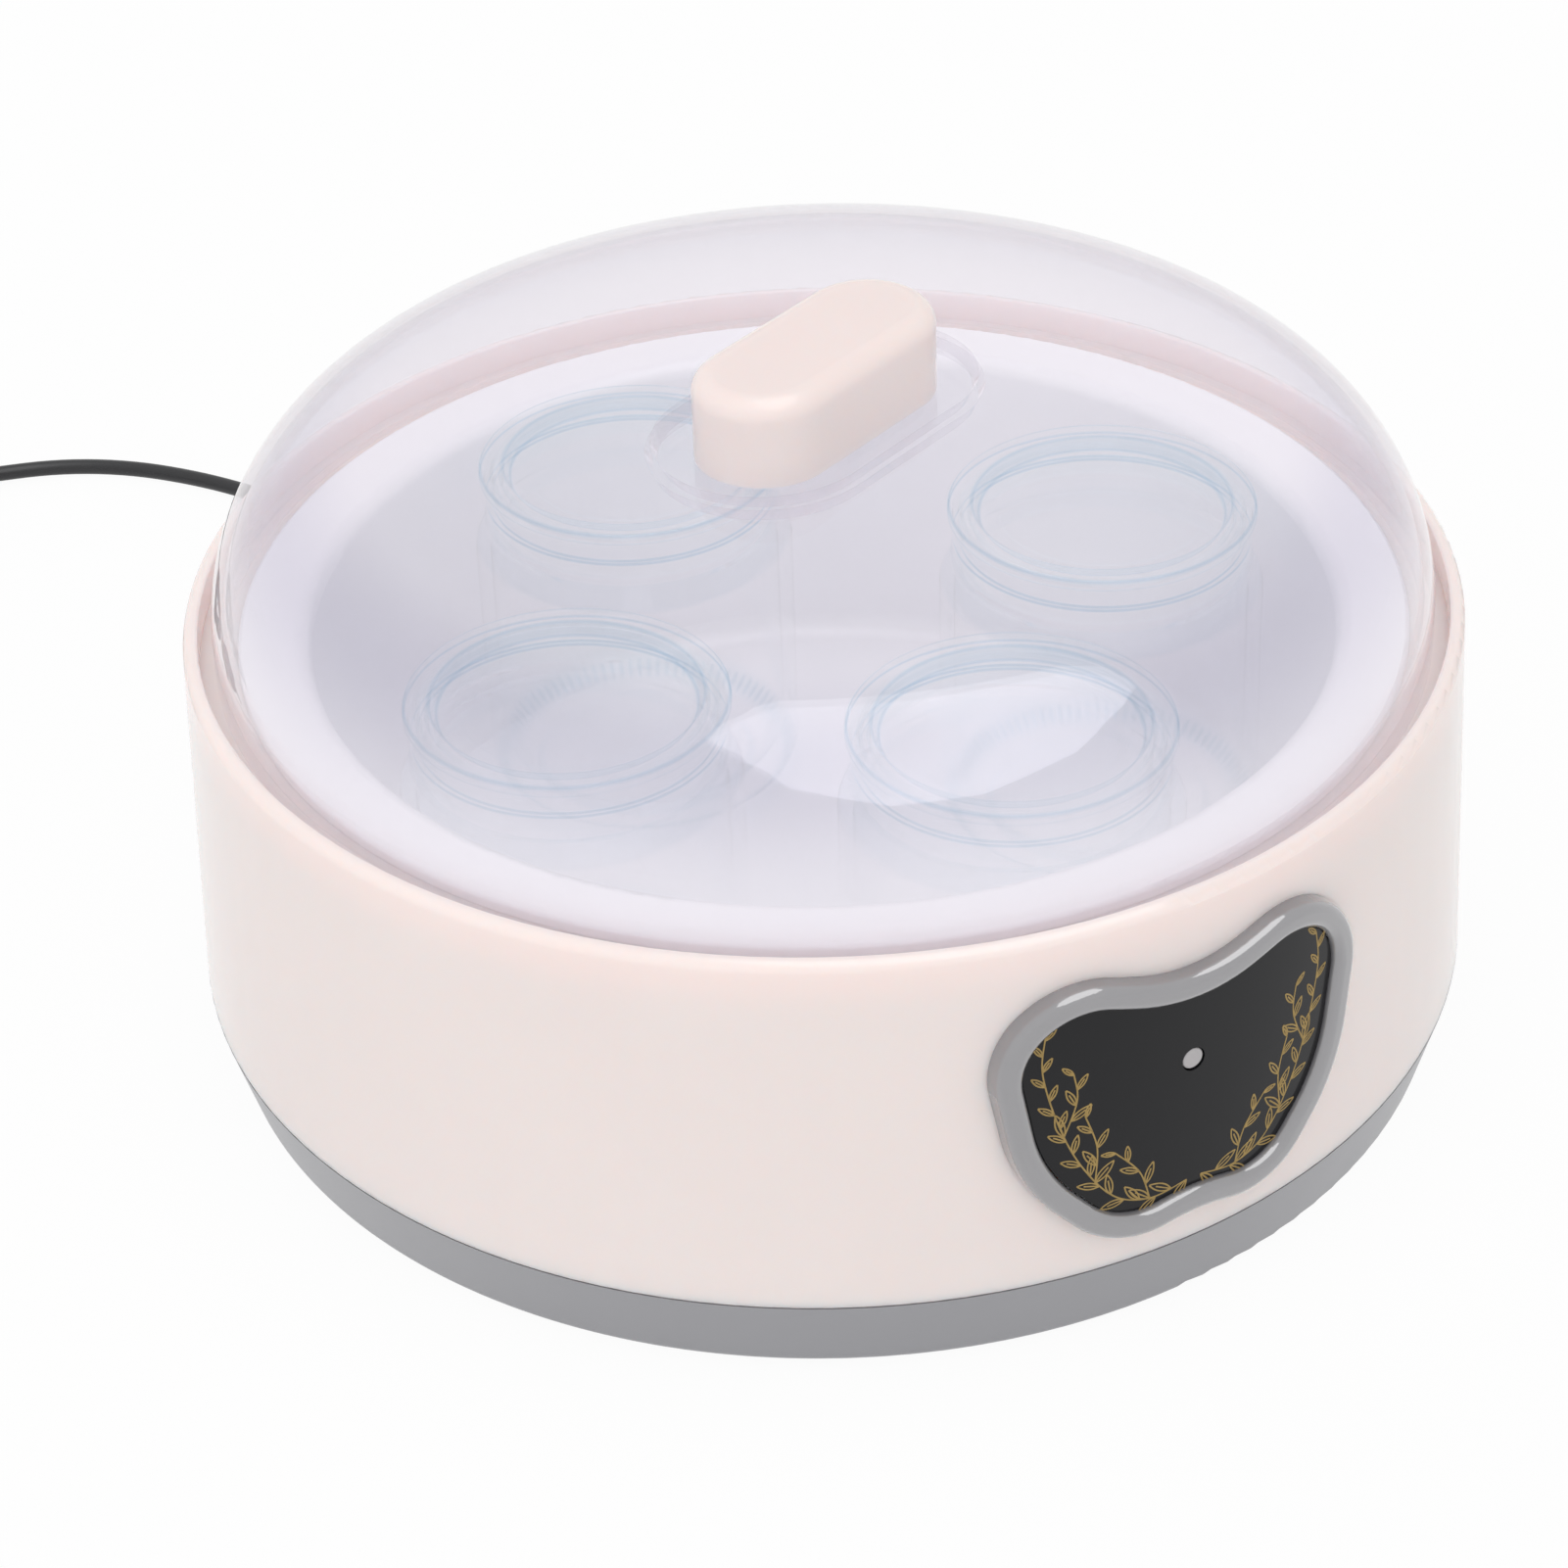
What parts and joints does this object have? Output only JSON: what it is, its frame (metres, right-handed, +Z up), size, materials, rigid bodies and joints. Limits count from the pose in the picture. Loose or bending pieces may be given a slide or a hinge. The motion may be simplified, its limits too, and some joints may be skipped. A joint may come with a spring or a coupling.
{
  "type": "yogurt maker",
  "caption": "Round electric yogurt maker: a shallow casing with a warm tub of capped glass jars, a clear domed lid with a knob, a front badge with a lamp, and a mains cord.",
  "frame": {"origin": "on the table, under the axis of the round casing", "axes": "+Z up along the axis of the casing and the lid, -Y towards the badge on the front, +Y towards the cord at the back"},
  "size_m": [0.294, 0.4111, 0.1428],
  "materials": {
    "cream_plastic": "satin moulded",
    "grey_plastic": "fine moulded grain",
    "tub_plastic": "smooth",
    "aluminium_sheet": "mill finish",
    "heater_ceramic": "fired",
    "cutout_plastic": "moulded",
    "spring_steel": "bright",
    "screw_steel": "zinc plated",
    "terminal_plastic": "moulded",
    "lead_insulation": "extruded",
    "bezel_plastic": "glossy",
    "black_plate": "glossy, printed",
    "lamp_resin": "clear cast",
    "board_laminate": "lacquered",
    "black_rubber": "matt",
    "cord_sheath": "satin extruded",
    "plug_plastic": "moulded",
    "pin_metal": "nickel plated",
    "clear_plastic": "polished clear",
    "jar_glass": "polished",
    "cap_plastic": "translucent"
  },
  "bodies": {
    "housing": {"base_pan": "grey_plastic", "outer_casing": "cream_plastic", "inner_tub": "tub_plastic", "heat_spreader": "aluminium_sheet", "heater_element": "heater_ceramic", "thermal_cutout": "cutout_plastic", "heater_clamp": "spring_steel", "heater_clamp_screws": "screw_steel", "terminal_block": "terminal_plastic", "inner_leads": "lead_insulation", "badge_bezel": "bezel_plastic", "badge_panel": "black_plate", "indicator_lamp": "lamp_resin", "lamp_board": "board_laminate", "lamp_board_screws": "screw_steel", "base_screws": "screw_steel", "cord_gland": "black_rubber", "cord_tail": "cord_sheath", "cord_clamp": "terminal_plastic", "cord_clamp_screws": "screw_steel", "power_cord": "cord_sheath", "cord_coil": "cord_sheath", "coil_tie": "black_rubber", "plug_body": "plug_plastic", "plug_pins": "pin_metal", "foot_1": "black_rubber", "foot_2": "black_rubber", "foot_3": "black_rubber", "foot_4": "black_rubber"},
    "lid": {"lid_cover": "clear_plastic", "lid_handle": "cream_plastic", "handle_screws": "screw_steel"},
    "jar_1_body": {"jar_1": "jar_glass"},
    "cap_1_body": {"jar_cap_1": "cap_plastic"},
    "jar_2_body": {"jar_2": "jar_glass"},
    "cap_2_body": {"jar_cap_2": "cap_plastic"},
    "jar_3_body": {"jar_3": "jar_glass"},
    "cap_3_body": {"jar_cap_3": "cap_plastic"},
    "jar_4_body": {"jar_4": "jar_glass"},
    "cap_4_body": {"jar_cap_4": "cap_plastic"}
  },
  "joints": [
    {"name": "lid_lift", "type": "slide", "parent": "housing", "child": "lid", "axis": [0, 0, 1], "range_m": [0, 0.24]},
    {"name": "jar_1_lift", "type": "slide", "parent": "housing", "child": "jar_1_body", "axis": [0, 0, 1], "range_m": [0, 0.12]},
    {"name": "cap_1_lift", "type": "slide", "parent": "jar_1_body", "child": "cap_1_body", "axis": [0, 0, 1], "range_m": [0, 0.06]},
    {"name": "jar_2_lift", "type": "slide", "parent": "housing", "child": "jar_2_body", "axis": [0, 0, 1], "range_m": [0, 0.12]},
    {"name": "cap_2_lift", "type": "slide", "parent": "jar_2_body", "child": "cap_2_body", "axis": [0, 0, 1], "range_m": [0, 0.06]},
    {"name": "jar_3_lift", "type": "slide", "parent": "housing", "child": "jar_3_body", "axis": [0, 0, 1], "range_m": [0, 0.12]},
    {"name": "cap_3_lift", "type": "slide", "parent": "jar_3_body", "child": "cap_3_body", "axis": [0, 0, 1], "range_m": [0, 0.06]},
    {"name": "jar_4_lift", "type": "slide", "parent": "housing", "child": "jar_4_body", "axis": [0, 0, 1], "range_m": [0, 0.12]},
    {"name": "cap_4_lift", "type": "slide", "parent": "jar_4_body", "child": "cap_4_body", "axis": [0, 0, 1], "range_m": [0, 0.06]}
  ],
  "couplings": [
    {"joint": "jar_1_lift", "follows": "lid_lift", "ratio": 0.5},
    {"joint": "cap_1_lift", "follows": "lid_lift", "ratio": 0.25},
    {"joint": "jar_2_lift", "follows": "lid_lift", "ratio": 0.5},
    {"joint": "cap_2_lift", "follows": "lid_lift", "ratio": 0.25},
    {"joint": "jar_3_lift", "follows": "lid_lift", "ratio": 0.5},
    {"joint": "cap_3_lift", "follows": "lid_lift", "ratio": 0.25},
    {"joint": "jar_4_lift", "follows": "lid_lift", "ratio": 0.5},
    {"joint": "cap_4_lift", "follows": "lid_lift", "ratio": 0.25}
  ]
}
